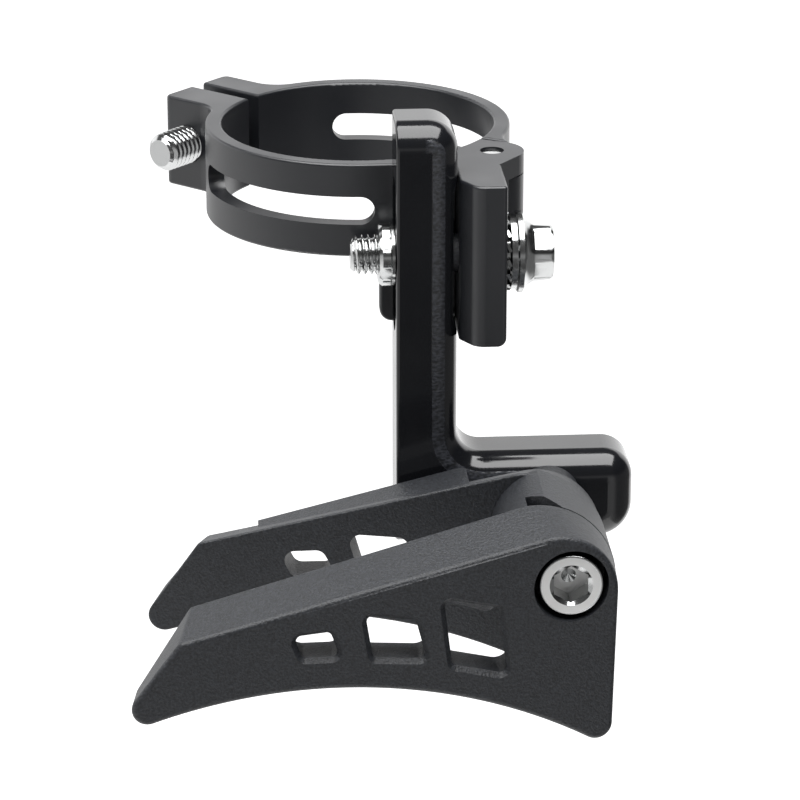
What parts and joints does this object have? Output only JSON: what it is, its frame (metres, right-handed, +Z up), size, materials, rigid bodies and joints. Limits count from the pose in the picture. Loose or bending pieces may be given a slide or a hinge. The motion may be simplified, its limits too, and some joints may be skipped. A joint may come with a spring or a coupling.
{
  "type": "bicycle chain guide",
  "caption": "Clamp-on chain guide: a hinged seat-tube band carries a slotted L-shaped arm that holds a flared, windowed two-plate cage which keeps the chain from dropping.",
  "frame": {"origin": "on the axis of the clamp's bore, at the middle of the band's height", "axes": "+Z up along the bore (seat tube) axis, -Y towards the outside of the bicycle where the cage sits, +X along the leg towards its free end"},
  "size_m": [0.0637, 0.0903, 0.0702],
  "materials": {
    "satin_anodised": "satin black anodised",
    "gloss_anodised": "gloss black anodised",
    "bright_steel": "bright plated steel",
    "nylon": "matte glass-filled nylon"
  },
  "bodies": {
    "clamp_front": {"clamp_front_half": "satin_anodised", "hinge_pin": "bright_steel", "mount_bolt": "bright_steel", "mount_lock_washer": "bright_steel", "mount_plain_washer": "bright_steel", "mount_nut": "bright_steel"},
    "clamp_rear": {"clamp_rear_half": "satin_anodised"},
    "pinch_bolt": {"clamp_bolt": "bright_steel"},
    "arm": {"guide_arm": "gloss_anodised", "cage_bolt": "bright_steel", "cage_washer": "bright_steel", "cage_nut": "bright_steel"},
    "cage": {"cage_outer_plate": "nylon", "cage_inner_plate": "nylon"}
  },
  "joints": [
    {"name": "clamp_hinge", "type": "hinge", "parent": "clamp_front", "child": "clamp_rear", "pos_m": [0.01605, -0.01445, 0], "axis": [0, 0, -1], "range_deg": [-1.5, 5]},
    {"name": "pinch_bolt_travel", "type": "slide", "parent": "clamp_front", "child": "pinch_bolt", "axis": [0.6691, 0.7431, 0], "range_m": [-0.0013, 0.0044]},
    {"name": "arm_height", "type": "slide", "parent": "clamp_front", "child": "arm", "axis": [0, 0, 1], "range_m": [-0.007, 0.007]},
    {"name": "cage_tilt", "type": "hinge", "parent": "arm", "child": "cage", "pos_m": [0.0221, -0.04, -0.0355], "axis": [0, 1, 0], "range_deg": [-15, 15]}
  ],
  "couplings": [
    {"joint": "pinch_bolt_travel", "follows": "clamp_hinge", "m_per_rad": 0.04925}
  ]
}
